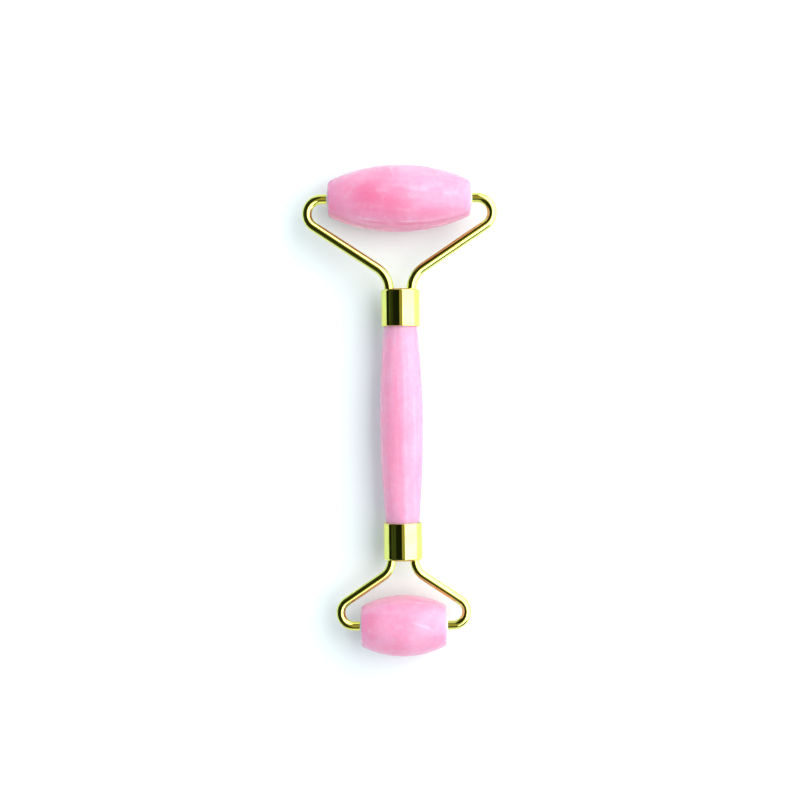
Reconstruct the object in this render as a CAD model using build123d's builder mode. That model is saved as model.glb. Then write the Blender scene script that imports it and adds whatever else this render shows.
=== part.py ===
from build123d import *

import os
from dataclasses import dataclass
from math import asin, atan2, cos, degrees, hypot, sin

# Double-ended stone face roller, lying flat.
#
# A turned stone handle carries a deep-drawn metal ferrule at each end. Out of each ferrule come the
# two arms of one bent wire fork, and between the arm ends a barrel-shaped stone roller spins on two
# nylon thimble bushes. The large roller is at +Y and the small one at -Y.
#
# Frame: +Z up, +Y along the handle towards the large roller, X along both roller axes. The origin is
# on the surface it lies on, under the middle of its overall length. All sizes are in millimetres.

# ---- handle ----
handle_length = 57.9  # stone that shows between the two ferrule rims
handle_belly_d = 12.7  # thickest place of the handle
handle_belly_offset = 1.0  # the belly sits this far towards the large head
handle_end_slope = 0.08  # rise of the outline per millimetre, where it leaves the rim
handle_end_chamfer = 0.4

# ---- ferrules, the same at both ends ----
ferrule_d = 11.5
ferrule_length = 11.0
ferrule_wall = 0.4
ferrule_corner_r = 0.8  # round of the closed end, outside
ferrule_rim_r = 0.12  # rolled edge of the open rim
leg_hole_edge = 0.1  # flat metal left between a leg's hole and the rounded corner
glue_recess = 0.35  # the adhesive stops this far below the open rim

# ---- bushes ----
bush_wall = 0.6
bush_length = 7.0  # from the flange's seat to the closed tip
bush_tip_wall = 0.8
bush_flange_width = 0.35  # the flange stands out this far beyond the bush body
bush_flange_thickness = 0.45
bush_mouth_chamfer = 0.15

# ---- clearances ----
running_clearance = 0.05  # wire in bush, on the radius
tip_clearance = 0.3  # end float of a roller, each way
hole_clearance = 0.06  # wire in the ferrule's end holes, on the radius
glue_gap = 0.4  # tenon in ferrule, on the radius
tenon_gap = 1.0  # from the wire's hairpin to the end of the tenon

# ---- edges ----
bore_chamfer = 0.15  # mouth of the stone's bore
wire_tip_chamfer = 0.35


@dataclass
class Head:
    """One end of the tool: a roller, its fork and its ferrule."""

    name: str
    direction: int  # +1 points along +Y, -1 along -Y
    roller_d: float
    roller_length: float
    roller_end_d: float  # across the end faces, before their edge is rounded
    roller_edge_r: float
    wire_d: float
    throat: float  # from the roller's surface to the ferrule's closed end
    elbow_r: float  # bend beside the roller, on the wire's centre line
    neck_r: float  # bend above the ferrule, on the wire's centre line
    stub: float  # straight wire between the bush flange and the elbow
    leg_depth: float  # straight leg below the ferrule's closed end

    @property
    def roller_r(self):
        return self.roller_d / 2

    @property
    def wire_r(self):
        return self.wire_d / 2

    @property
    def reach(self):
        """From the roller's axis to the ferrule's closed end."""
        return self.roller_r + self.throat

    @property
    def leg_offset(self):
        """From the tool's axis to each leg, as wide apart as the ferrule's flat end allows."""
        return ferrule_d / 2 - ferrule_corner_r - leg_hole_edge - hole_clearance - self.wire_r

    @property
    def hairpin_depth(self):
        """From the ferrule's closed end to the deepest point of the wire's hairpin."""
        return self.leg_depth + self.leg_offset + self.wire_r

    @property
    def bush_bore_r(self):
        return self.wire_r + running_clearance

    @property
    def bush_r(self):
        return self.bush_bore_r + bush_wall

    @property
    def wire_tip(self):
        """From the roller's middle to the end of the wire, inside the bush."""
        return self.roller_length / 2 - bush_length + bush_tip_wall + tip_clearance


large = Head(
    name="large",
    direction=1,
    roller_d=19.8,
    roller_length=42.0,
    roller_end_d=10.3,
    roller_edge_r=1.5,
    wire_d=2.9,
    throat=16.9,
    elbow_r=4.4,
    neck_r=7.6,
    stub=1.5,
    leg_depth=0.8,
)
small = Head(
    name="small",
    direction=-1,
    roller_d=18.0,
    roller_length=25.0,
    roller_end_d=11.8,
    roller_edge_r=1.1,
    wire_d=2.7,
    throat=10.4,
    elbow_r=4.0,
    neck_r=5.9,
    stub=1.6,
    leg_depth=0.8,
)

# ---- places along the tool ----
head_lengths = [head.roller_r + head.reach + ferrule_length for head in (large, small)]
overall_length = handle_length + sum(head_lengths)
axis_height = max(large.roller_r, small.roller_r)  # both roller axes and the handle's lie at this height
axle_y = {
    "large": overall_length / 2 - large.roller_r,
    "small": -overall_length / 2 + small.roller_r,
}
ferrule_bore_r = ferrule_d / 2 - ferrule_wall
handle_end_r = ferrule_bore_r - glue_gap  # the handle's neck runs on as the tenon in each ferrule
handle_axis = Axis((0, 0, axis_height), (0, 1, 0))


def face_y(head):
    """Y of the closed end of the head's ferrule."""
    return axle_y[head.name] - head.direction * head.reach


def rim_y(head):
    """Y of the ferrule's open rim, where the handle comes out."""
    return face_y(head) - head.direction * ferrule_length


def tenon_end_y(head):
    """Y of the handle's end, inside the head's ferrule."""
    return face_y(head) - head.direction * (head.hairpin_depth + tenon_gap)


def head_plane(head):
    """The plane of the fork: origin and local X on the roller's axis, local Y away from the handle."""
    return Plane(origin=(0, axle_y[head.name], axis_height), x_dir=(head.direction, 0, 0), z_dir=(0, 0, 1))


def ferrule_plane(head):
    """On the ferrule's closed end, with local Z into the ferrule."""
    return Plane(origin=(0, face_y(head), axis_height), x_dir=(1, 0, 0), z_dir=(0, -head.direction, 0))


def finish(builder, name):
    builder.part.label = name
    export_step(builder.part, f"parts/{name}.step")
    return builder.part


def make_handle():
    top, bottom = rim_y(large), rim_y(small)
    top_end, bottom_end = tenon_end_y(large), tenon_end_y(small)
    belly_y = (top + bottom) / 2 + handle_belly_offset
    with BuildPart() as handle:
        with BuildSketch(Plane.XY.offset(axis_height)):
            with BuildLine():
                outline = Spline(
                    (handle_end_r, bottom),
                    (handle_belly_d / 2, belly_y),
                    (handle_end_r, top),
                    tangents=[(handle_end_slope, 1), (-handle_end_slope, 1)],
                )
                Polyline(outline @ 1, (handle_end_r, top_end), (0, top_end))
                Polyline(outline @ 0, (handle_end_r, bottom_end), (0, bottom_end))
                Line((0, bottom_end), (0, top_end))
            make_face()
        revolve(axis=handle_axis)
        chamfer(handle.faces().filter_by(Axis.Y).edges(), handle_end_chamfer)
    return finish(handle, "handle_stone")


def make_roller_stone(head):
    half, end_r = head.roller_length / 2, head.roller_end_d / 2
    with BuildPart() as stone:
        with BuildSketch(head_plane(head)) as profile:
            with BuildLine():
                ThreePointArc((-half, end_r), (0, head.roller_r), (half, end_r))
                Polyline((half, end_r), (half, 0), (-half, 0), (-half, end_r))
            make_face()
            fillet(profile.vertices().group_by(Axis.Y)[-1], head.roller_edge_r)
        revolve(axis=Axis((0, axle_y[head.name], axis_height), (1, 0, 0)))
        with Locations(Plane(origin=(half, axle_y[head.name], axis_height), z_dir=(1, 0, 0))):
            Hole(head.bush_r)
        chamfer(stone.faces().filter_by(Axis.X).edges().group_by(SortBy.LENGTH)[0], bore_chamfer)
    return finish(stone, f"{head.name}_roller_stone")


def make_bush(head, side):
    """Thimble bush: flange outside the stone, closed tip inside it. side is +1 at +X."""
    seat = Plane(
        origin=(side * head.roller_length / 2, axle_y[head.name], axis_height), z_dir=(-side, 0, 0)
    )
    flange_r = head.bush_r + bush_flange_width
    with BuildPart() as bush:
        with BuildSketch(seat):
            Circle(head.bush_r)
        extrude(amount=bush_length)
        with BuildSketch(seat):
            Circle(flange_r)
        extrude(amount=-bush_flange_thickness)
        with BuildSketch(seat.offset(-bush_flange_thickness)):
            Circle(head.bush_bore_r)
        extrude(amount=bush_flange_thickness + bush_length - bush_tip_wall, mode=Mode.SUBTRACT)
        outer_face = bush.faces().filter_by(Axis.X).sort_by(Axis.X)[-1 if side > 0 else 0]
        chamfer(outer_face.edges(), bush_mouth_chamfer)
    return finish(bush, f"{head.name}_roller_bush_{'right' if side > 0 else 'left'}")


def fork_geometry(head):
    """Elbow centre, neck centre and the arm's slope. The arm is the line that touches both bends."""
    elbow = (
        head.roller_length / 2 + bush_flange_thickness + head.stub,
        -head.elbow_r,
    )
    neck = (head.leg_offset + head.neck_r, -head.reach)
    dx, dy = elbow[0] - neck[0], elbow[1] - neck[1]
    slope = atan2(dy, dx) - asin((head.elbow_r + head.neck_r) / hypot(dx, dy))
    return elbow, neck, slope


def make_fork_wire(head):
    elbow, neck, slope = fork_geometry(head)
    across = (sin(slope), -cos(slope))
    arm_top = (elbow[0] + head.elbow_r * across[0], elbow[1] + head.elbow_r * across[1])
    arm_foot = (neck[0] - head.neck_r * across[0], neck[1] - head.neck_r * across[1])
    leg_end = -head.reach - head.leg_depth
    with BuildPart() as wire:
        with BuildLine(head_plane(head)) as route:
            Line((head.wire_tip, 0), (elbow[0], 0))
            CenterArc(elbow, head.elbow_r, 90, degrees(slope) - 180)
            Line(arm_top, arm_foot)
            CenterArc(neck, head.neck_r, 90 + degrees(slope), 90 - degrees(slope))
            Line((head.leg_offset, -head.reach), (head.leg_offset, leg_end))
            CenterArc((0, leg_end), head.leg_offset, 0, -90)
            mirror(about=Plane.YZ)
        with BuildSketch(Plane(origin=route.line @ 0, z_dir=route.line % 0)):
            Circle(head.wire_r)
        sweep(path=route.line)
        chamfer(wire.faces().filter_by(Axis.X).edges(), wire_tip_chamfer)
    return finish(wire, f"{head.name}_fork_wire")


def end_faces(builder, head):
    """The flat faces across the handle's axis, from the ferrule's closed end towards its rim."""
    return builder.faces().filter_by(Axis.Y).sort_by(Axis.Y, reverse=head.direction > 0)


def make_ferrule(head):
    with BuildPart(ferrule_plane(head)) as ferrule:
        Cylinder(ferrule_d / 2, ferrule_length, align=(Align.CENTER, Align.CENTER, Align.MIN))
        fillet(end_faces(ferrule, head)[0].edges(), ferrule_corner_r)
        offset(amount=-ferrule_wall, openings=end_faces(ferrule, head)[-1])
        with Locations((head.leg_offset, 0), (-head.leg_offset, 0)):
            Hole(head.wire_r + hole_clearance)
        fillet(end_faces(ferrule, head)[-1].edges(), ferrule_rim_r)
    return finish(ferrule, f"{head.name}_ferrule")


def make_adhesive(head, handle, wire):
    """Cured adhesive that fills the ferrule round the hairpin of the wire and round the handle's tenon."""
    depth = ferrule_length - ferrule_wall - glue_recess
    with BuildPart() as adhesive:
        with Locations(ferrule_plane(head).offset(ferrule_wall)):
            Cylinder(ferrule_bore_r, depth, align=(Align.CENTER, Align.CENTER, Align.MIN))
        fillet(end_faces(adhesive, head)[0].edges(), ferrule_corner_r - ferrule_wall)
        add(handle, mode=Mode.SUBTRACT)
        add(wire, mode=Mode.SUBTRACT)
    return finish(adhesive, f"{head.name}_ferrule_adhesive")


os.makedirs("parts", exist_ok=True)
handle_stone = make_handle()
for head in (large, small):
    make_roller_stone(head)
    for side in (-1, 1):
        make_bush(head, side)
    fork_wire = make_fork_wire(head)
    make_ferrule(head)
    make_adhesive(head, handle_stone, fork_wire)
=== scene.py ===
from math import asin, atan2, cos, hypot, pi, radians, sin, sqrt, tan

import bmesh
import bpy
from mathutils import Matrix, Vector


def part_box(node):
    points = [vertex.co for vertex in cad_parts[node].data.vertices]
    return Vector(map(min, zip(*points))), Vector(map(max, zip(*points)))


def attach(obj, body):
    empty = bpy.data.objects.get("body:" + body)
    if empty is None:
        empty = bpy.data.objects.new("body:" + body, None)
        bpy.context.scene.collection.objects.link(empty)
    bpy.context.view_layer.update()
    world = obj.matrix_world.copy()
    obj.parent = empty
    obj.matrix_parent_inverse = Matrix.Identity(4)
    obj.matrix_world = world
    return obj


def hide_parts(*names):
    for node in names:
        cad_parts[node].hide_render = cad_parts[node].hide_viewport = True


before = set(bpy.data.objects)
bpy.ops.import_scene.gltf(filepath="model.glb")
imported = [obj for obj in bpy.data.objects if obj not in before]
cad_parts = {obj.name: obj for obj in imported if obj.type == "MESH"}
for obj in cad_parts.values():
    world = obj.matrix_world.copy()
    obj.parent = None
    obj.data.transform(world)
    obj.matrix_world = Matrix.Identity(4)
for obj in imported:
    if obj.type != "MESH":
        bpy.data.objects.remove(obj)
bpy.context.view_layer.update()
mm = 0.001
weld = 0.0005 * mm  # points nearer than this become one
print("frame loaded:", sorted(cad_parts))


class Signal:
    # wraps a node's output, so that sums on signals add their own Math nodes
    def __init__(self, graph, socket):
        self.graph = graph
        self.socket = socket

    def maths(self, operation, *terms):
        return self.graph.add("ShaderNodeMath", {"operation": operation}, dict(enumerate(terms)))

    def other(self, key):
        return Signal(self.graph, pick(self.socket.node.outputs, key))


def operator(operation, swapped=False):
    def apply(signal, term):
        return signal.maths(operation, *((term, signal) if swapped else (signal, term)))
    return apply


operations = {"add": "ADD", "sub": "SUBTRACT", "mul": "MULTIPLY", "truediv": "DIVIDE"}
for sign, operation in operations.items():
    setattr(Signal, f"__{sign}__", operator(operation))
    setattr(Signal, f"__r{sign}__", operator(operation, swapped=True))


def pick(sockets, key):
    # by number, or by the identifier that never changes with the node's mode
    return sockets[key] if isinstance(key, int) else next(s for s in sockets if s.identifier == key)


class Graph:
    def __init__(self, tree):
        self.tree = tree
        self.tree.nodes.clear()

    def add(self, kind, settings=None, feeds=None, out=0):
        # settings first, then values or links into the sockets; gives one of the node's outputs
        node = self.tree.nodes.new(kind)
        for name, value in (settings or {}).items():
            setattr(node, name, value)
        for key, value in (feeds or {}).items():
            socket = pick(node.inputs, key)
            if isinstance(value, Signal):
                self.tree.links.new(value.socket, socket)
            else:
                socket.default_value = value
        return Signal(self, pick(node.outputs, out)) if node.outputs else node

    def step(self, value, low, high):
        # 0 below low, 1 above high, smooth between
        feeds = {"Value": value, "From Min": low, "From Max": high}
        return self.add("ShaderNodeMapRange", {"interpolation_type": "SMOOTHSTEP"}, feeds)

    def mix(self, factor, first, second, blend="MIX"):
        settings = {"data_type": "RGBA", "blend_type": blend}
        feeds = {"Factor_Float": factor, "A_Color": first, "B_Color": second}
        return self.add("ShaderNodeMix", settings, feeds, "Result_Color")

    def vector(self, operation, first, second, out=0):
        return self.add("ShaderNodeVectorMath", {"operation": operation}, {0: first, 1: second}, out)

    def noise(self, place, scale, detail=2.0, roughness=0.5, distortion=0.0):
        feeds = {
            "Vector": place,
            "Scale": scale,
            "Detail": detail,
            "Roughness": roughness,
            "Distortion": distortion,
        }
        return self.add("ShaderNodeTexNoise", {"noise_dimensions": "3D"}, feeds)

    def mapped(self, place, **feeds):
        # the same place, turned or stretched
        return self.add("ShaderNodeMapping", {}, {"Vector": place, **feeds})


def newMaterial(name):
    material = bpy.data.materials.new(name)
    material.use_nodes = True
    return material, Graph(material.node_tree)


def finishMaterial(graph, feeds, height=None, bumpDepth=0.0):
    # the surface shader, with a Bump node if a height is given in metres
    if height is not None:
        bump = {"Strength": 1.0, "Distance": bumpDepth, "Height": height}
        feeds = {**feeds, "Normal": graph.add("ShaderNodeBump", {}, bump)}
    shader = graph.add("ShaderNodeBsdfPrincipled", {}, feeds)
    graph.add("ShaderNodeOutputMaterial", {}, {"Surface": shader})


def objectPlace(graph, centre=(0, 0, 0), stretch=(1, 1, 1)):
    # Object coordinates counted from a point, and stretched along the axes
    place = graph.add("ShaderNodeTexCoord", out="Object")
    shift = [-c * s for c, s in zip(centre, stretch)]
    return graph.mapped(place, Location=shift, Scale=stretch)


# rose quartz

quartz = {
    "deep": (0.800, 0.190, 0.345, 1),
    "body": (0.870, 0.370, 0.555, 1),
    "milky": (0.890, 0.480, 0.640, 1),
    "veil": (0.920, 0.660, 0.770, 1),
    "roughness": 0.20,
    "subsurface": 1.0,
    "scatter": (0.85, 0.36, 0.44),
    "scatterDepth": 9.0 * mm,
    "index": 1.54,
    "gloss": 0.32,
    "clouding": (0.36, 0.66),  # where the cloud noise turns from deep to milky
    "crazeBend": (0.004, 0.004, 0.004),
    "fibreScale": 700.0,
    "mottleScale": 620.0,
    "speckScale": 110.0,
    "speckSize": (0.018, 0.032),
    "waveScale": 240.0,
    "scratchScale": 1100.0,
    "hazeScale": 95.0,
    "polishDepth": 0.06 * mm,
}


def nearness(graph, place, spot, ragged=None):
    # 1 at a point and 0 from its reach on, in millimetres from the middle of the piece
    feeds = {0: place, 1: [c * mm for c in spot["at"]]}
    away = graph.add("ShaderNodeVectorMath", {"operation": "DISTANCE"}, feeds, "Value")
    return 1.0 - graph.step(away if ragged is None else away + ragged, 0.0, spot["reach"] * mm)


def pastSheet(graph, place, sheet):
    # how far a point lies past a nearly flat sheet in the stone, whose surface wanders
    warp = (graph.noise(place, sheet["wander"], 4.0, 0.6) - 0.5) * (sheet["sway"] * mm)
    along = graph.vector("DOT_PRODUCT", place, sheet["normal"], "Value")
    return along - sheet["offset"] * mm + warp


def crack(graph, place, seam):
    # where a healed crack meets the surface: a fine line, and a veil that fades to one side of it
    past = pastSheet(graph, place, seam)
    line = 1.0 - graph.step(past.maths("ABSOLUTE", past), 0.0, seam["width"] * mm)
    beside = graph.step(past, 0.0, 0.1 * mm) * (1.0 - graph.step(past, 0.0, seam["fade"] * mm))
    patches = graph.step(graph.noise(place, seam["patch"], 3.0), 0.38, 0.62)
    drawn = line.maths("MAXIMUM", line, beside * 0.35) * patches * seam["strength"]
    return drawn * nearness(graph, place, seam["near"]) if "near" in seam else drawn


def sideLightAndShade(graph, place, paintedSide):
    # painted light and shade: the lit side of the stone made paler, the shaded side made deeper
    return graph.step(pastSheet(graph, place, paintedSide), 0.0, paintedSide["blur"] * mm) * paintedSide["strength"]


def pocket(graph, place, spot):
    # a cloud of deeper colour round a point, with slanted wisps
    slant = graph.mapped(place, Rotation=(0, 0, 0.6), Scale=(0.55, 1.5, 1))
    ragged = (graph.noise(slant, spot["wander"], 6.0, 0.68) - 0.5) * (spot["sway"] * mm)
    return nearness(graph, place, spot, ragged) * spot["strength"]


def veils(graph, seeded, look):
    # milky veils: soft ridges of a stretched and folded noise
    drift = graph.mapped(seeded, Rotation=look["veilTurn"], Scale=(1, 3, 2))
    folds = graph.noise(drift, look["veilScale"], 5.0, 0.6, 0.7) - 0.5
    ridges = 1.0 - graph.step(folds.maths("ABSOLUTE", folds), 0.0, 0.07)
    faded = graph.step(graph.noise(seeded, look["veilScale"] * 0.6, 2.0), 0.40, 0.66)
    return ridges * faded * look["veils"]


def crazing(graph, seeded, look):
    # hairline joints between the crystal grains, seen through the polish in places
    feeds = {"Vector": seeded, "Scale": 260.0, "Detail": 3.0}
    bend = graph.add("ShaderNodeTexNoise", {}, feeds, "Color")
    bent = graph.vector("ADD", seeded, graph.vector("MULTIPLY", bend, quartz["crazeBend"]))
    feeds = {"Vector": bent, "Scale": look["grainScale"]}
    edge = graph.add("ShaderNodeTexVoronoi", {"feature": "DISTANCE_TO_EDGE"}, feeds, "Distance")
    shown = graph.step(graph.noise(seeded, look["grainScale"] * 0.5, 2.0), 0.46, 0.66)
    return (1.0 - graph.step(edge, 0.0, 0.05)) * shown * look["crazing"]


def roseQuartz(name, centre, look):
    material, graph = newMaterial(name)
    place = objectPlace(graph, centre)
    seeded = graph.vector("ADD", place, look["seed"])
    clouds = graph.noise(seeded, look["cloudScale"], 5.0, 0.58, 0.6)
    colour = graph.mix(graph.step(clouds, *quartz["clouding"]), quartz["deep"], quartz["milky"])
    colour = graph.mix(1.0 - look["clouds"], colour, quartz["body"])
    # painted light and shade by side: milky on the lit side, deep on the shaded side
    for paintedSide in look["litAndShadedSides"]:
        colour = graph.mix(sideLightAndShade(graph, place, paintedSide), colour, quartz[paintedSide["tint"]])
    for spot in look["pockets"]:
        colour = graph.mix(pocket(graph, place, spot), colour, quartz["deep"])
    colour = graph.mix(veils(graph, seeded, look), colour, quartz["veil"])
    colour = graph.mix(crazing(graph, seeded, look), colour, quartz["veil"])
    # fine fibres, and the mottling of the crystal grains
    fibres = graph.noise(graph.mapped(seeded, Scale=look["fibreWay"]), quartz["fibreScale"], 3.0)
    colour = graph.mix(graph.step(fibres, 0.48, 0.72) * look["fibres"], colour, quartz["veil"])
    mottle = graph.noise(seeded, quartz["mottleScale"], 5.0, 0.72)
    colour = graph.mix(graph.step(mottle, 0.42, 0.70) * look["mottle"], colour, quartz["deep"])
    pale = 1.0 - graph.step(mottle, 0.28, 0.46)
    colour = graph.mix(pale * look["mottle"], colour, quartz["veil"])
    for seam in look["cracks"]:
        colour = graph.mix(crack(graph, place, seam), colour, seam["tint"])
    # a few bright inclusions, each a fraction of a millimetre
    feeds = {"Vector": seeded, "Scale": quartz["speckScale"]}
    specks = graph.add("ShaderNodeTexVoronoi", {}, feeds, "Distance")
    speck = 1.0 - graph.step(specks, *quartz["speckSize"])
    colour = graph.mix(speck * 0.8, colour, quartz["veil"])
    # the hand polish leaves low waves, a satin haze and a few hairline scratches
    waves = graph.noise(seeded, quartz["waveScale"], 2.0)
    scratches = graph.noise(graph.mapped(seeded, Scale=look["polish"]), quartz["scratchScale"], 3.0)
    haze = graph.noise(seeded, quartz["hazeScale"], 4.0, 0.6)
    feeds = {
        "Base Color": colour,
        "Roughness": quartz["roughness"] + (haze - 0.5) * 0.16 + (scratches - 0.5) * 0.10,
        "IOR": quartz["index"],
        "Specular IOR Level": quartz["gloss"],
        "Subsurface Weight": quartz["subsurface"],
        "Subsurface Radius": quartz["scatter"],
        "Subsurface Scale": quartz["scatterDepth"],
    }
    finishMaterial(graph, feeds, waves * 0.75 + scratches * 0.25, quartz["polishDepth"])
    return material


# plated gold

gold = {
    "bright": (0.710, 0.770, 0.200, 1),
    "warm": (0.730, 0.710, 0.165, 1),
    "dull": (0.420, 0.350, 0.075, 1),
    "roughness": 0.055,
    "markScale": 700.0,
    "driftScale": 130.0,
    "smudgeScale": 260.0,
    "pitScale": 2600.0,
    "polishDepth": 0.012 * mm,
}


def goldPlate(name, lines):
    # lines stretches the polishing marks: short along the axis that they run round
    material, graph = newMaterial(name)
    place = objectPlace(graph)
    marks = graph.noise(objectPlace(graph, stretch=lines), gold["markScale"], 3.0, 0.6)
    drift = graph.noise(place, gold["driftScale"], 3.0)
    smudge = graph.step(graph.noise(place, gold["smudgeScale"], 4.0, 0.62), 0.52, 0.74)
    pits = graph.step(graph.noise(place, gold["pitScale"], 1.0), 0.76, 0.84)
    colour = graph.mix(graph.step(drift, 0.38, 0.66), gold["bright"], gold["warm"])
    colour = graph.mix(pits * 0.5, colour, gold["dull"])
    roughness = gold["roughness"] + smudge * 0.07 + (marks - 0.5) * 0.05 + pits * 0.2
    feeds = {"Base Color": colour, "Metallic": 1.0, "Roughness": roughness}
    height = drift * 0.65 + marks * 0.28 - pits * 0.07
    finishMaterial(graph, feeds, height, gold["polishDepth"])
    return material


# natural nylon: milky, slightly waxy, with moulding flow
nylonLook = {
    "cloudy": (0.80, 0.78, 0.72, 1),
    "clear": (0.90, 0.89, 0.85, 1),
    "flowScale": 420.0,
    "skinScale": 3200.0,
    "roughness": 0.38,
    "index": 1.53,
    "subsurface": 0.5,
    "scatter": (1.0, 0.9, 0.8),
    "scatterDepth": 0.8 * mm,
    "skinDepth": 0.02 * mm,
}


def nylonMaterial():
    material, graph = newMaterial("natural_nylon")
    place = objectPlace(graph)
    flow = graph.noise(place, nylonLook["flowScale"], 3.0, 0.6, 0.8)
    skin = graph.noise(place, nylonLook["skinScale"], 2.0)
    feeds = {
        "Base Color": graph.mix(flow, nylonLook["cloudy"], nylonLook["clear"]),
        "Roughness": nylonLook["roughness"] + (flow - 0.5) * 0.15,
        "IOR": nylonLook["index"],
        "Subsurface Weight": nylonLook["subsurface"],
        "Subsurface Radius": nylonLook["scatter"],
        "Subsurface Scale": nylonLook["scatterDepth"],
    }
    finishMaterial(graph, feeds, flow * 0.5 + skin * 0.5, nylonLook["skinDepth"])
    return material


# cured adhesive: amber, glassy, with trapped bubbles
resinLook = {
    "dark": (0.42, 0.20, 0.12, 1),
    "amber": (0.66, 0.38, 0.26, 1),
    "bubble": (0.82, 0.62, 0.48, 1),
    "swirlScale": 520.0,
    "bubbleScale": 1900.0,
    "bubbleSize": (0.10, 0.22),
    "roughness": 0.16,
    "index": 1.5,
    "subsurface": 0.3,
    "scatter": (1.0, 0.6, 0.4),
    "scatterDepth": 0.6 * mm,
    "skinDepth": 0.03 * mm,
}


def resinMaterial():
    material, graph = newMaterial("cured_resin")
    place = objectPlace(graph)
    swirl = graph.noise(place, resinLook["swirlScale"], 3.0, 0.6, 1.5)
    feeds = {"Vector": place, "Scale": resinLook["bubbleScale"]}
    solid = graph.step(graph.add("ShaderNodeTexVoronoi", {}, feeds), *resinLook["bubbleSize"])
    colour = graph.mix(swirl, resinLook["dark"], resinLook["amber"])
    colour = graph.mix((1.0 - solid) * 0.6, colour, resinLook["bubble"])
    feeds = {
        "Base Color": colour,
        "Roughness": resinLook["roughness"] + swirl * 0.12,
        "IOR": resinLook["index"],
        "Subsurface Weight": resinLook["subsurface"],
        "Subsurface Radius": resinLook["scatter"],
        "Subsurface Scale": resinLook["scatterDepth"],
    }
    finishMaterial(graph, feeds, swirl * 0.6 + solid * 0.4, resinLook["skinDepth"])
    return material


# Geometry Nodes: one tree turns profiles, one sweeps bent wire

wavesStart = (3.5 * mm, 5.0 * mm)  # distance from the axis where polishing waves set in


def newTree(name, inputs):
    tree = bpy.data.node_groups.new(name, "GeometryNodeTree")
    graph = Graph(tree)
    tree.interface.new_socket("Geometry", in_out="INPUT", socket_type="NodeSocketGeometry")
    for label, kind in inputs.items():
        tree.interface.new_socket(label, in_out="INPUT", socket_type="NodeSocket" + kind)
    tree.interface.new_socket("Geometry", in_out="OUTPUT", socket_type="NodeSocketGeometry")
    entry = tree.nodes.new("NodeGroupInput")
    return tree, graph, {s.name: Signal(graph, s) for s in entry.outputs if s.name}


def endTree(graph, shape, material):
    solid = graph.add("GeometryNodeRealizeInstances", {}, {"Geometry": shape})
    dressed = graph.add("GeometryNodeSetMaterial", {}, {"Geometry": solid, "Material": material})
    graph.add("NodeGroupOutput", {}, {0: dressed})


def turningTree():
    # turns a profile, points (0, along, out), about the Y axis: a grid takes the points row by row
    inputs = {
        "Segments": "Int",
        "Waviness": "Float",
        "Wave Scale": "Float",
        "Seed": "Float",
        "Material": "Material",
    }
    tree, graph, given = newTree("turned_piece", inputs)
    profile = given["Geometry"]
    counted = {"component": "MESH"}
    rows = graph.add("GeometryNodeAttributeDomainSize", counted, {"Geometry": profile}, "Point Count")
    columns = given["Segments"] + 1
    size = {"Vertices X": rows, "Vertices Y": columns}
    grid = graph.add("GeometryNodeMeshGrid", {}, size, "Mesh")
    index = graph.add("GeometryNodeInputIndex")
    row = (index / columns).maths("FLOOR", index / columns)
    turn = (index - row * columns) / given["Segments"] * (2 * pi)
    here = graph.add("GeometryNodeInputPosition")
    sampled = {"Geometry": profile, "Value": here, "Index": row}
    point = graph.add("GeometryNodeSampleIndex", {"data_type": "FLOAT_VECTOR"}, sampled)
    parts = graph.add("ShaderNodeSeparateXYZ", {}, {"Vector": point})
    along, out = parts.other("Y"), parts.other("Z")
    # low waves from hand polishing, none near the axis, where bores and bushes are
    around = {"X": turn.maths("COSINE", turn) * out, "Y": along, "Z": turn.maths("SINE", turn) * out}
    place = graph.add("ShaderNodeCombineXYZ", {}, around)
    feeds = {"Vector": place, "W": given["Seed"], "Scale": given["Wave Scale"], "Detail": 1.0}
    wave = graph.add("ShaderNodeTexNoise", {"noise_dimensions": "4D"}, feeds) - 0.5
    swell = 1.0 + wave * given["Waviness"] * graph.step(out, *wavesStart)
    shaped = {"X": around["X"] * swell, "Y": along, "Z": around["Z"] * swell}
    moved = graph.add("ShaderNodeCombineXYZ", {}, shaped)
    shell = graph.add("GeometryNodeSetPosition", {}, {"Geometry": grid, "Position": moved})
    closed = graph.add("GeometryNodeMergeByDistance", {}, {"Geometry": shell, "Distance": weld})
    endTree(graph, closed, given["Material"])
    return tree


def wireTree():
    # rounds the corners of a route and sweeps a round section along it
    inputs = {
        "Wire Radius": "Float",
        "Sides": "Int",
        "Bend Steps": "Int",
        "Material": "Material",
    }
    tree, graph, given = newTree("bent_wire", inputs)
    route = graph.add("GeometryNodeMeshToCurve", {}, {"Mesh": given["Geometry"]})
    named = {"Name": "bendRadius"}
    bend = graph.add("GeometryNodeInputNamedAttribute", {"data_type": "FLOAT"}, named)
    feeds = {"Curve": route, "Count": given["Bend Steps"], "Radius": bend, "Limit Radius": True}
    rounded = graph.add("GeometryNodeFilletCurve", {"mode": "POLY"}, feeds)
    circle = {"Resolution": given["Sides"], "Radius": given["Wire Radius"]}
    section = graph.add("GeometryNodeCurvePrimitiveCircle", {}, circle)
    feeds = {"Curve": rounded, "Profile Curve": section, "Fill Caps": True}
    swept = graph.add("GeometryNodeCurveToMesh", {}, feeds)
    endTree(graph, swept, given["Material"])
    return tree


def evaluated(source, name):
    # what the modifiers make, as a plain mesh on a fresh object
    bpy.context.view_layer.update()
    depsgraph = bpy.context.evaluated_depsgraph_get()
    shaped = source.evaluated_get(depsgraph)
    mesh = bpy.data.meshes.new_from_object(shaped, depsgraph=depsgraph)
    mesh.name = name
    bpy.data.objects.remove(source)
    piece = bpy.data.objects.new(name, mesh)
    bpy.context.scene.collection.objects.link(piece)
    return piece


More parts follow.
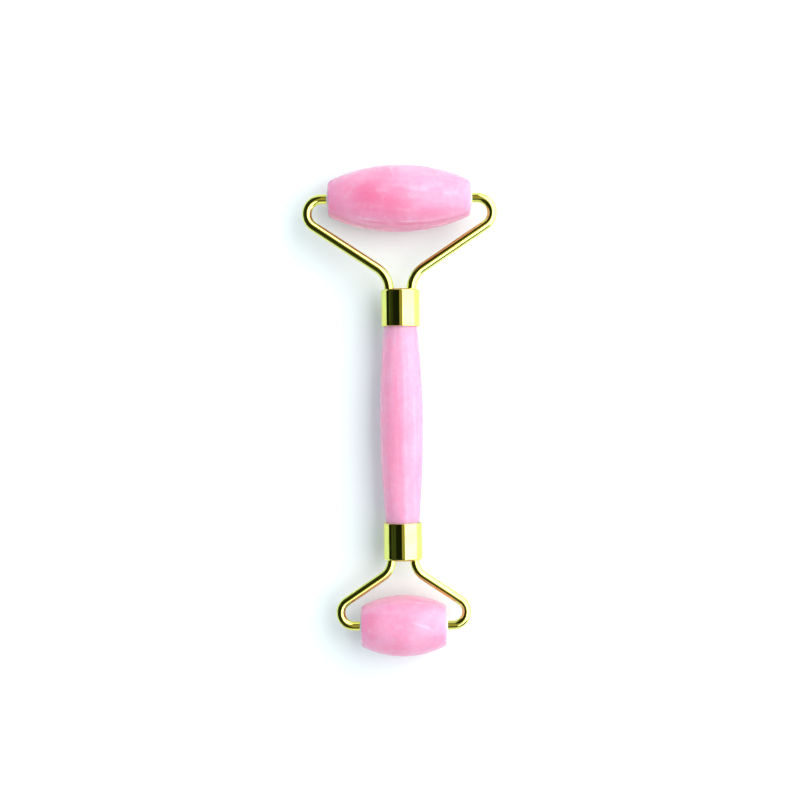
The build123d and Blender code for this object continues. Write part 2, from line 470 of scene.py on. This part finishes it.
def grow(name, tree, points, values, attributes=None):
    # an object holding a chain of points, with a tree that makes the piece from it
    chain = bpy.data.meshes.new(name + "_points")
    chain.from_pydata(points, [(i, i + 1) for i in range(len(points) - 1)], [])
    for label, numbers in (attributes or {}).items():
        chain.attributes.new(label, "FLOAT", "POINT").data.foreach_set("value", numbers)
    source = bpy.data.objects.new(name + "_source", chain)
    bpy.context.scene.collection.objects.link(source)
    modifier = source.modifiers.new("grow", "NODES")
    modifier.node_group = tree
    for item in tree.interface.items_tree:
        if item.item_type == "SOCKET" and item.in_out == "INPUT" and item.name in values:
            modifier[item.identifier] = values[item.name]
    return evaluated(source, name)


sharpAngle = 35  # edges that bend more than this stay crisp


def tidyShading(piece):
    # smooth faces, sharp only at real edges, normals outwards
    work = bmesh.new()
    work.from_mesh(piece.data)
    bmesh.ops.remove_doubles(work, verts=work.verts, dist=weld)
    bmesh.ops.dissolve_degenerate(work, dist=0.4 * weld, edges=work.edges)
    bmesh.ops.recalc_face_normals(work, faces=work.faces)
    work.to_mesh(piece.data)
    work.free()
    piece.data.shade_smooth()
    piece.data.set_sharp_from_angle(angle=radians(sharpAngle))
    return piece


def arc(centre, radius, start, end, steps):
    # points on a round stretch of a profile, angles in degrees from the along direction
    angles = [radians(start + (end - start) * i / steps) for i in range(steps + 1)]
    return [(centre[0] + radius * cos(a), centre[1] + radius * sin(a)) for a in angles]


def straight(start, end, steps, ease=0.12 * mm):
    # a straight stretch, with a close row inside each end, so that its shading stays flat
    length = hypot(end[0] - start[0], end[1] - start[1])
    inset = min(ease / length, 0.3)
    shares = [0.0, inset] + [i / steps for i in range(1, steps)] + [1 - inset, 1.0]
    return [
        (start[0] + (end[0] - start[0]) * s, start[1] + (end[1] - start[1]) * s) for s in shares
    ]


def joined(*stretches):
    # one profile from its stretches, with each repeated point once
    points = []
    for point in [p for stretch in stretches for p in stretch]:
        if points and hypot(point[0] - points[-1][0], point[1] - points[-1][1]) <= 2 * weld:
            continue
        points.append(point)
    return points


def turned(name, profile, centre, axis, material, segments, waviness=0.0, waveScale=60.0, seed=0.0):
    # profile is (along, out) in metres, along counted from centre in the direction of axis
    values = {
        "Segments": segments,
        "Waviness": waviness,
        "Wave Scale": waveScale,
        "Seed": seed,
        "Material": material,
    }
    points = [(0, along, out) for along, out in profile]
    piece = grow(name, trees["turned"], points, values)
    aim = Vector((0, 1, 0)).rotation_difference(Vector(axis)).to_matrix().to_4x4()
    piece.data.transform(Matrix.Translation(centre) @ aim)
    return tidyShading(piece)


def handIn(piece, body, node):
    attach(piece, body)
    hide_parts(node)


trees = {"turned": turningTree(), "wire": wireTree()}


def middle(node):
    low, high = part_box(node)
    return (low + high) / 2


def extent(node):
    low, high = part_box(node)
    return high - low


# the two ends of the tool, each with the way that it points along Y

heads = {
    "large": {
        "direction": 1,
        "endDiameter": 10.3 * mm,
        "edge": 1.5 * mm,
        "elbow": 4.4 * mm,
        "neck": 7.6 * mm,
    },
    "small": {
        "direction": -1,
        "endDiameter": 11.8 * mm,
        "edge": 1.1 * mm,
        "elbow": 4.0 * mm,
        "neck": 5.9 * mm,
    },
}
cup = {
    "wall": 0.4 * mm,
    "corner": 0.8 * mm,
    "rim": 0.17 * mm,
    "legEdge": 0.1 * mm,
    "holeGap": 0.06 * mm,
    "drill": (-1.0 * mm, 1.5 * mm),  # how far a drill reaches before and past the closed face
}
bush = {
    "flange": 0.45 * mm,
    "flangeWidth": 0.35 * mm,
    "wall": 0.6 * mm,
    "tip": 0.8 * mm,
    "mouth": 0.15 * mm,
    "lead": 0.1 * mm,
    "flangeEdge": 0.05 * mm,
}
glue = {"gap": 0.4 * mm, "recess": 0.35 * mm, "climb": 0.22 * mm}
runningGap = 0.05 * mm
boreLip = 0.15 * mm
tipGap = 0.3 * mm  # between a wire's tip and the end of its bush
legRun = 0.8 * mm  # straight leg inside the cup, before the hairpin
tenonGap = 1.0 * mm
fineEase = 0.03 * mm  # for the close rows on a bush's narrow faces
facets = {"barrel": 192, "bush": 64, "handle": 160, "cup": 160, "drill": 48, "glue": 96}

# the rest of each end's sizes follows from the frame and from the sizes above
for name, head in heads.items():
    stone, ferrule = f"{name}_roller_stone", f"{name}_ferrule"
    head["axle"] = middle(stone)
    head["rollerRadius"] = extent(stone).y / 2
    head["halfLength"] = extent(stone).x / 2
    head["wireRadius"] = extent(f"{name}_fork_wire").z / 2
    head["span"] = extent(f"{name}_fork_wire").x / 2 - head["wireRadius"]
    head["tipReach"] = extent(f"{name}_roller_bush_right").x
    head["cupRadius"] = extent(ferrule).x / 2
    head["cupLength"] = extent(ferrule).y
    head["faceY"] = middle(ferrule).y + head["direction"] * extent(ferrule).y / 2
    head["reach"] = abs(head["axle"].y - head["faceY"])
    rimToLeg = cup["corner"] + cup["legEdge"] + cup["holeGap"] + head["wireRadius"]
    head["legOffset"] = head["cupRadius"] - rimToLeg
    head["hairpin"] = legRun + head["legOffset"] + head["wireRadius"]
    head["handleEnd"] = head["hairpin"] + tenonGap
    head["bushRadius"] = head["wireRadius"] + runningGap + bush["wall"]
    head["cupBore"] = head["cupRadius"] - cup["wall"]


def barrelProfile(head):
    # a long crown arc with rounded ends, and the bore through the middle
    half, out, end = head["halfLength"], head["rollerRadius"], head["endDiameter"] / 2
    crown = (half**2 + (out - end) ** 2) / (2 * (out - end))
    low = out - crown
    edge = head["edge"]
    centre = (half - edge, low + sqrt((crown - edge) ** 2 - (half - edge) ** 2))
    lean = atan2(centre[1] - low, centre[0]) * 180 / pi
    bore, lip = head["bushRadius"], boreLip
    side = joined(
        arc((0, low), crown, 90, lean, 44),
        arc(centre, edge, lean, 0, 12),
        straight((half, centre[1]), (half, bore + lip), 3),
        [(half - lip, bore)],
    )
    mirrored = [(-along, outward) for along, outward in reversed(side)]
    loop = joined(mirrored, side)
    return loop + [loop[0]]


def bushProfile(head):
    # thimble: along runs from the flange's outer face into the stone
    bore = head["wireRadius"] + runningGap
    body, flange = head["bushRadius"], head["bushRadius"] + bush["flangeWidth"]
    depth, rim, mouth = head["tipReach"], bush["flange"], bush["mouth"]
    lead, edge = bush["lead"], bush["flangeEdge"]
    return joined(
        straight((depth, 0), (depth, body - lead), 1),
        straight((depth - lead, body), (rim, body), 4),
        straight((rim, body), (rim, flange - edge), 1, fineEase),
        straight((rim - edge, flange), (mouth, flange), 1, fineEase),
        straight((0, flange - mouth), (0, bore + mouth), 1, fineEase),
        straight((mouth, bore), (depth - bush["tip"], bore), 4),
        [(depth - bush["tip"], 0)],
    )


def cupProfile(head):
    # drawn cup: along runs from the closed face towards the open rim
    out, inner, length = head["cupRadius"], head["cupBore"], head["cupLength"]
    wall, corner, rim = cup["wall"], cup["corner"], cup["rim"]
    within = corner - wall
    return joined(
        straight((0, 0), (0, out - corner), 3),
        arc((corner, out - corner), corner, 180, 90, 14),
        straight((corner, out), (length - rim, out), 10),
        arc((length - rim, out - rim), rim, 90, 0, 6),
        arc((length - rim, inner + rim), rim, 0, -90, 6),
        straight((length - rim, inner), (wall + within, inner), 10),
        arc((wall + within, inner - within), within, 90, 180, 8),
        straight((wall, inner - within), (wall, 0), 3),
    )


def gluePlug(head):
    # the adhesive: along runs from inside the closed face to the meniscus below the rim
    bore, neck = head["cupBore"], head["cupBore"] - glue["gap"]
    wall, within = cup["wall"], cup["corner"] - cup["wall"]
    top, handleEnd = head["cupLength"] - glue["recess"], head["handleEnd"]
    width, bevel = bore - neck, grip["endChamfer"]
    sag = [(top - glue["climb"] * sin(pi * i / 8), bore - width * i / 8) for i in range(9)]
    return joined(
        straight((wall, 0), (wall, bore - within), 2),
        arc((wall + within, bore - within), within, 180, 90, 8),
        straight((wall + within, bore), (top, bore), 6),
        sag,
        straight((top, neck), (handleEnd + bevel, neck), 4),
        straight((handleEnd, neck - bevel), (handleEnd, 0), 2),
    )


# roller stones and bushes

rollerLooks = {
    "large": {
        "seed": (0.013, 0.027, 0.041),
        "cloudScale": 64.0,
        "clouds": 0.32,
        "veilScale": 62.0,
        "veilTurn": (0.2, 0.3, 0.5),
        "veils": 0.09,
        "grainScale": 150.0,
        "crazing": 0.15,
        "mottle": 0.20,
        "fibreWay": (0.10, 0.9, 0.9),
        "fibres": 0.09,
        "polish": (0.10, 1.0, 1.0),
        "waviness": 0.003,
        # painted light on the lit right side (milky) and painted shade on the shaded left end (deep)
        "litAndShadedSides": [
            {
                "normal": (0.75, 0.62, 0.24), "offset": 3.5, "wander": 110.0, "sway": 6.0, "blur": 12.0,
                "strength": 0.18, "tint": "milky",
            },
            {
                "normal": (-0.97, -0.22, 0.10), "offset": 12.0, "wander": 110.0, "sway": 5.0, "blur": 8.0,
                "strength": 0.30, "tint": "deep",
            },
        ],
        "pockets": [
            {"at": (-9.3, -0.9, 9.0), "wander": 210.0, "sway": 7.0, "reach": 9.0, "strength": 0.88},
            {"at": (-2.6, -3.6, 8.4), "wander": 230.0, "sway": 8.0, "reach": 8.5, "strength": 0.60},
            {"at": (-3.6, 6.4, 6.4), "wander": 230.0, "sway": 5.0, "reach": 5.0, "strength": 0.38},
            {"at": (-19.0, -3.0, 5.0), "wander": 210.0, "sway": 5.0, "reach": 8.0, "strength": 0.30},
        ],
        "cracks": [
            {
                "normal": (0.02, 0.656, 0.755), "offset": 0.0, "wander": 45.0, "sway": 0.9, "width": 0.26,
                "fade": 0.6, "patch": 85.0, "strength": 1.0, "tint": (0.98, 0.70, 0.74, 1),
                "near": {"at": (-8.0, -6.4, 6.4), "reach": 27.0},
            },
            {
                "normal": (0.03, 0.610, 0.792), "offset": -0.55, "wander": 45.0, "sway": 0.9, "width": 0.36,
                "fade": 0.5, "patch": 95.0, "strength": 1.0, "tint": (0.76, 0.12, 0.22, 1),
                "near": {"at": (-8.0, -6.4, 6.4), "reach": 27.0},
            },
            {
                "normal": (0.30, 0.92, 0.22), "offset": 1.9, "wander": 80.0, "sway": 2.2, "width": 0.40,
                "fade": 2.2, "patch": 90.0, "strength": 0.55, "tint": (0.97, 0.66, 0.82, 1),
                "near": {"at": (-9.0, 3.4, 8.0), "reach": 12.0},
            },
            {
                "normal": (0.93, 0.28, 0.20), "offset": 1.4, "wander": 140.0, "sway": 1.6, "width": 0.36,
                "fade": 1.2, "patch": 60.0, "strength": 0.75, "tint": (0.99, 0.72, 0.86, 1),
                "near": {"at": (-1.8, 7.6, 6.2), "reach": 4.5},
            },
            {
                "normal": (0.16, 0.95, 0.20), "offset": 4.4, "wander": 120.0, "sway": 2.6, "width": 0.85,
                "fade": 2.4, "patch": 120.0, "strength": 0.55, "tint": (1.0, 0.76, 0.90, 1),
                "near": {"at": (9.5, 1.8, 8.0), "reach": 12.0},
            },
        ],
    },
    "small": {
        "seed": (0.071, 0.019, 0.053),
        "cloudScale": 78.0,
        "clouds": 0.26,
        "veilScale": 80.0,
        "veilTurn": (0.1, 0.2, -0.45),
        "veils": 0.09,
        "grainScale": 170.0,
        "crazing": 0.13,
        "mottle": 0.22,
        "fibreWay": (0.12, 0.9, 0.9),
        "fibres": 0.09,
        "polish": (0.10, 1.0, 1.0),
        "waviness": 0.003,
        # painted light on the lit right side (milky) and painted shade on the shaded left side (deep)
        "litAndShadedSides": [
            {
                "normal": (0.93, 0.30, 0.20), "offset": 3.0, "wander": 120.0, "sway": 5.0, "blur": 10.0,
                "strength": 0.10, "tint": "milky",
            },
            {
                "normal": (-0.93, -0.30, 0.15), "offset": 6.0, "wander": 120.0, "sway": 4.0, "blur": 7.0,
                "strength": 0.22, "tint": "deep",
            },
        ],
        "pockets": [
            {"at": (-9.8, 1.0, 6.0), "wander": 190.0, "sway": 4.0, "reach": 5.5, "strength": 0.45},
            {"at": (-3.0, -6.5, 6.0), "wander": 190.0, "sway": 5.0, "reach": 6.5, "strength": 0.40},
        ],
        "cracks": [
            {
                "normal": (-0.06, 0.610, -0.790), "offset": 0.3, "wander": 60.0, "sway": 1.2, "width": 0.30,
                "fade": 0.7, "patch": 90.0, "strength": 0.50, "tint": (0.98, 0.68, 0.82, 1),
            },
            {
                "normal": (-0.05, 0.560, -0.828), "offset": -0.4, "wander": 60.0, "sway": 1.2, "width": 0.34,
                "fade": 0.5, "patch": 90.0, "strength": 0.40, "tint": (0.80, 0.18, 0.34, 1),
            },
            {
                "normal": (0.40, 0.89, 0.20), "offset": 4.7, "wander": 130.0, "sway": 1.8, "width": 0.55,
                "fade": 1.6, "patch": 150.0, "strength": 0.60, "tint": (1.0, 0.78, 0.90, 1),
                "near": {"at": (6.2, 1.4, 8.0), "reach": 6.0},
            },
        ],
    },
}
nylon = nylonMaterial()
for name, head in heads.items():
    look = rollerLooks[name]
    body = f"{name}_roller"
    material = roseQuartz(f"rose_quartz_{name}_roller", head["axle"], look)
    stone = turned(
        f"{name}_barrel", barrelProfile(head), head["axle"], (1, 0, 0), material,
        facets["barrel"], waviness=look["waviness"], seed=look["seed"][0],
    )
    handIn(stone, body, f"{name}_roller_stone")
    for side, sign in {"left": -1, "right": 1}.items():
        outside = head["axle"] + Vector((sign * (head["halfLength"] + bush["flange"]), 0, 0))
        sleeve = turned(
            f"{name}_bush_{side}", bushProfile(head), outside, (-sign, 0, 0), nylon, facets["bush"],
        )
        handIn(sleeve, body, f"{name}_roller_bush_{side}")
print("rollers made")


# handle

grip = {
    "bellyOffset": 1.0 * mm,
    "endSlope": 0.08,
    "endChamfer": 0.4 * mm,
    "chamferEase": 0.05 * mm,
    "waviness": 0.003,
    "waveScale": 42.0,
    "look": {
        "seed": (0.033, 0.061, 0.017),
        "cloudScale": 52.0,
        "clouds": 0.15,
        "veilScale": 60.0,
        "veilTurn": (0.1, 0.1, 1.5),
        "veils": 0.08,
        "grainScale": 130.0,
        "crazing": 0.08,
        "mottle": 0.13,
        "fibreWay": (1.0, 0.07, 1.0),
        "fibres": 0.20,
        "polish": (1.0, 0.10, 1.0),
        # painted light: the lit right side of the grip made paler (milky)
        "litAndShadedSides": [
            {
                "normal": (0.96, 0.10, 0.26), "offset": 1.6, "wander": 80.0, "sway": 4.0, "blur": 5.0,
                "strength": 0.10, "tint": "milky",
            },
        ],
        "pockets": [
            {"at": (-3.0, 0.0, 5.0), "wander": 130.0, "sway": 6.0, "reach": 15.0, "strength": 0.06},
        ],
        "cracks": [
            {
                "normal": (0.985, 0.05, 0.16), "offset": 0.8, "wander": 55.0, "sway": 1.6, "width": 0.4,
                "fade": 1.6, "patch": 70.0, "strength": 0.18, "tint": (0.98, 0.62, 0.78, 1),
            },
            {
                "normal": (0.97, -0.06, -0.24), "offset": -3.6, "wander": 60.0, "sway": 1.2, "width": 0.35,
                "fade": 0.9, "patch": 60.0, "strength": 0.20, "tint": (0.78, 0.18, 0.34, 1),
            },
        ],
    },
}


def swellStretch(start, end, startOut, endOut, startSlope, steps):
    # a cubic that leaves the rim at a slope and is level at the belly
    points = []
    for i in range(steps + 1):
        t = i / steps
        out = startOut * (2 * t**3 - 3 * t**2 + 1) + endOut * (3 * t**2 - 2 * t**3)
        out += (end - start) * startSlope * (t**3 - 2 * t**2 + t)
        points.append((start + (end - start) * t, out))
    return points


def handleProfile():
    # from the small cup to the large one: each rim, and each hidden end of the stone
    ends = [heads["small"], heads["large"]]
    low, high = (end["faceY"] - end["direction"] * end["cupLength"] for end in ends)
    lowEnd, highEnd = (end["faceY"] - end["direction"] * end["handleEnd"] for end in ends)
    neck = heads["large"]["cupBore"] - glue["gap"]
    belly = extent("handle_stone").x / 2
    bellyY = (low + high) / 2 + grip["bellyOffset"]
    bevel, ease = grip["endChamfer"], grip["chamferEase"]
    rising = swellStretch(low, bellyY, neck, belly, grip["endSlope"], 40)
    falling = swellStretch(high, bellyY, neck, belly, -grip["endSlope"], 40)[::-1]
    return joined(
        [(lowEnd, 0)],
        straight((lowEnd, neck - bevel), (lowEnd + bevel, neck), 1, ease),
        straight((lowEnd + bevel, neck), (low, neck), 3),
        rising,
        falling,
        straight((high, neck), (highEnd - bevel, neck), 3),
        straight((highEnd - bevel, neck), (highEnd, neck - bevel), 1, ease),
        [(highEnd, 0)],
    )


handleCentre = Vector((0, 0, middle("handle_stone").z))
handleQuartz = roseQuartz("rose_quartz_handle", middle("handle_stone"), grip["look"])
handle = turned(
    "handle_grip", handleProfile(), handleCentre, (0, 1, 0), handleQuartz, facets["handle"],
    waviness=grip["waviness"], waveScale=grip["waveScale"], seed=grip["look"]["seed"][0],
)
handIn(handle, "frame", "handle_stone")
print("handle made")


# forks, cups and adhesive

bending = {"sides": 48, "steps": 30}


def forkRoute(head):
    # corners of the wire's centre line: x out from the middle, y away from the handle
    elbow = (head["span"] - head["elbow"], -head["elbow"])
    neck = (head["legOffset"] + head["neck"], -head["reach"])
    dx, dy = elbow[0] - neck[0], elbow[1] - neck[1]
    slope = atan2(dy, dx) - asin((head["elbow"] + head["neck"]) / hypot(dx, dy))
    foot = (elbow[0] + head["elbow"] * sin(slope), elbow[1] - head["elbow"] * cos(slope))
    outerCorner = (foot[0] - foot[1] / tan(slope), 0.0)
    innerCorner = (head["legOffset"], foot[1] + (head["legOffset"] - foot[0]) * tan(slope))
    turnDepth = -head["reach"] - legRun - head["legOffset"]
    tip = head["halfLength"] + bush["flange"] - head["tipReach"] + bush["tip"] + tipGap
    side = [
        ((tip, 0.0), 0.0),
        (outerCorner, head["elbow"]),
        (innerCorner, head["neck"]),
        ((head["legOffset"], turnDepth), head["legOffset"]),
    ]
    other = [((-x, y), bend) for (x, y), bend in reversed(side)]
    return side + other


def forkWire(name, head, material):
    corners = forkRoute(head)
    axle, way = head["axle"], head["direction"]
    points = [(x * way, axle.y + way * y, axle.z) for (x, y), bend in corners]
    values = {
        "Wire Radius": head["wireRadius"],
        "Sides": bending["sides"],
        "Bend Steps": bending["steps"],
        "Material": material,
    }
    bends = {"bendRadius": [bend for corner, bend in corners]}
    return tidyShading(grow(f"{name}_fork", trees["wire"], points, values, bends))


def cutAway(piece, tool, keepTool=False):
    # takes the tool's shape out of the piece
    modifier = piece.modifiers.new("cut", "BOOLEAN")
    modifier.operation = "DIFFERENCE"
    modifier.solver = "EXACT"
    modifier.object = tool
    name = piece.name
    piece.name = name + "_uncut"
    result = evaluated(piece, name)
    if not keepTool:
        bpy.data.objects.remove(tool)
    return tidyShading(result)


goldWire = goldPlate("plated_gold_wire", (1.0, 1.0, 1.0))
goldCup = goldPlate("plated_gold_cup", (0.12, 1.0, 0.12))
resin = resinMaterial()
before, past = cup["drill"]
for name, head in heads.items():
    way = head["direction"]
    face = Vector((0, head["faceY"], head["axle"].z))
    inward = (0, -way, 0)
    fork = forkWire(name, head, goldWire)
    ferrule = turned(f"{name}_cup", cupProfile(head), face, inward, goldCup, facets["cup"])
    for sign in (-1, 1):
        bore = head["wireRadius"] + cup["holeGap"]
        drillProfile = [(before, 0), (before, bore), (past, bore), (past, 0)]
        spot = face + Vector((sign * head["legOffset"], 0, 0))
        drill = turned(f"{name}_drill", drillProfile, spot, inward, goldCup, facets["drill"])
        ferrule = cutAway(ferrule, drill)
    plug = turned(f"{name}_glue", gluePlug(head), face, inward, resin, facets["glue"])
    plug = cutAway(plug, fork, keepTool=True)
    handIn(fork, "frame", f"{name}_fork_wire")
    handIn(ferrule, "frame", f"{name}_ferrule")
    handIn(plug, "frame", f"{name}_ferrule_adhesive")
print("forks, cups and adhesive made")


# floor, lights and camera

floorLook = {
    "size": 1.7,
    "colour": (0.91, 0.91, 0.91, 1),
    "roughness": 0.65,
    "gloss": 0.2,
    "toothScale": 900.0,
    "toothDepth": 0.01 * mm,
}


def makeFloor():
    mesh = bpy.data.meshes.new("floor")
    half = floorLook["size"] / 2
    corners = [(-half, -half, 0), (half, -half, 0), (half, half, 0), (-half, half, 0)]
    mesh.from_pydata(corners, [], [(0, 1, 2, 3)])
    floor = bpy.data.objects.new("floor", mesh)
    bpy.context.scene.collection.objects.link(floor)
    material, graph = newMaterial("matt_white_board")
    tooth = graph.noise(objectPlace(graph), floorLook["toothScale"], 2.0)
    feeds = {
        "Base Color": floorLook["colour"],
        "Roughness": floorLook["roughness"],
        "Specular IOR Level": floorLook["gloss"],
    }
    finishMaterial(graph, feeds, tooth, floorLook["toothDepth"])
    mesh.materials.append(material)


# the soft key lights the matt surfaces, and the gleam panels are what the gloss reflects
panels = {
    "key": {
        "edges": ((0.26, 1.30), (1.50, 0.87)),
        "run": (-0.48, 1.62),
        "radiance": 3.1,
        "colour": (1.0, 0.99, 0.98),
    },
    "gleam": {
        "edges": ((0.28, 1.29), (1.50, 0.86)),
        "run": (-1.1, 2.4),
        "radiance": 4.1,
        "colour": (0.99, 0.98, 1.0),
        "gloss": True,
    },
    "low_gleam": {
        "edges": ((1.50, 0.86), (1.45, 0.0)),
        "run": (-1.1, 2.4),
        "radiance": 4.1,
        "colour": (0.99, 0.98, 1.0),
        "gloss": True,
    },
    "edge_strip": {
        "edges": ((-0.09, 0.90), (0.194, 0.90)),
        "run": (-0.5, 0.8),
        "radiance": 0.42,
        "colour": (1.0, 0.80, 0.40),
        "gloss": True,
    },
}


def makePanel(name, panel):
    # a flat panel between two edges (x, z) that run along Y, facing the object
    (x1, z1), (x2, z2) = panel["edges"]
    y1, y2 = panel["run"]
    light = bpy.data.lights.new(name, "AREA")
    light.shape = "RECTANGLE"
    light.size = hypot(x2 - x1, z2 - z1)
    light.size_y = y2 - y1
    light.energy = panel["radiance"] * pi * light.size * light.size_y
    light.color = panel["colour"]
    lamp = bpy.data.objects.new(name, light)
    across = Vector((x2 - x1, 0, z2 - z1)).normalized()
    along = Vector((0, 1, 0))
    facing = Matrix((across, along, across.cross(along))).transposed().to_4x4()
    centre = ((x1 + x2) / 2, (y1 + y2) / 2, (z1 + z2) / 2)
    lamp.matrix_world = Matrix.Translation(centre) @ facing
    lamp.visible_camera = False
    lamp.visible_glossy = "gloss" in panel
    lamp.visible_diffuse = "gloss" not in panel
    bpy.context.scene.collection.objects.link(lamp)


room = {
    "backdrop": (0.93, 0.95, 0.96, 1),
    "fill": (0.76, 0.95, 1.0, 1),
    "fillStrength": 0.77,
    "dark": (0.009, 0.012, 0.003, 1),
    "ends": (1.10, 1.12, 1.05, 1),
    "low": (0.085, 0.100, 0.045, 1),
    "lowFrom": (0.22, 0.42),  # heights between which the skirting comes in, and goes again
    "lowTo": (0.62, 0.80),
    "endsFrom": (0.80, 0.95),
    "shapeScale": 3.0,
}


def makeRoom():
    # gloss sees a dark room with bright ends and a dim skirting, the camera a pale backdrop,
    # and the rest is a soft cool fill
    world = bpy.data.worlds.new("studio")
    world.use_nodes = True
    graph = Graph(world.node_tree)
    way = graph.add("ShaderNodeTexCoord", out="Generated")
    parts = graph.add("ShaderNodeSeparateXYZ", {}, {"Vector": way})
    length, height = parts.other("Y"), parts.other("Z")
    shapes = graph.step(graph.noise(way, room["shapeScale"], 2.0), 0.45, 0.62)
    skirting = graph.step(height, *room["lowFrom"]) * (1.0 - graph.step(height, *room["lowTo"]))
    low = graph.mix(skirting * (0.3 + shapes * 0.7), room["dark"], room["low"])
    ends = graph.step(length.maths("ABSOLUTE", length), *room["endsFrom"])
    gloss = graph.mix(ends, low, room["ends"])
    rays = graph.add("ShaderNodeLightPath", out="Is Camera Ray")
    feeds = {"Color": room["fill"], "Strength": room["fillStrength"]}
    fill = graph.add("ShaderNodeBackground", {}, feeds)
    reflected = graph.add("ShaderNodeBackground", {}, {"Color": gloss, "Strength": 1.0})
    pale = graph.add("ShaderNodeBackground", {}, {"Color": room["backdrop"], "Strength": 1.0})
    lit = graph.add("ShaderNodeMixShader", {}, {0: rays.other("Is Glossy Ray"), 1: fill, 2: reflected})
    seen = graph.add("ShaderNodeMixShader", {}, {0: rays, 1: lit, 2: pale})
    graph.add("ShaderNodeOutputWorld", {}, {"Surface": seen})
    bpy.context.scene.world = world


shot = {
    "height": 0.48,
    "aim": (-0.42 * mm, 3.1 * mm),
    "span": 236.2 * mm,
    "turn": 0.63,
    "sensor": 36.0,
    "near": 0.01,
}


def makeCamera():
    # straight above, with the object leaning slightly in the frame
    camera = bpy.data.cameras.new("overhead")
    camera.sensor_width = shot["sensor"]
    camera.lens = shot["sensor"] * (shot["height"] - handleCentre.z) / shot["span"]
    camera.clip_start = shot["near"]
    holder = bpy.data.objects.new("overhead", camera)
    holder.location = (shot["aim"][0], shot["aim"][1], shot["height"])
    holder.rotation_euler = (0, 0, radians(-shot["turn"]))
    bpy.context.scene.collection.objects.link(holder)
    bpy.context.scene.camera = holder


makeFloor()
for name, panel in panels.items():
    makePanel(name, panel)
makeRoom()
makeCamera()
bpy.context.scene.view_settings.view_transform = "Standard"
print("studio made")
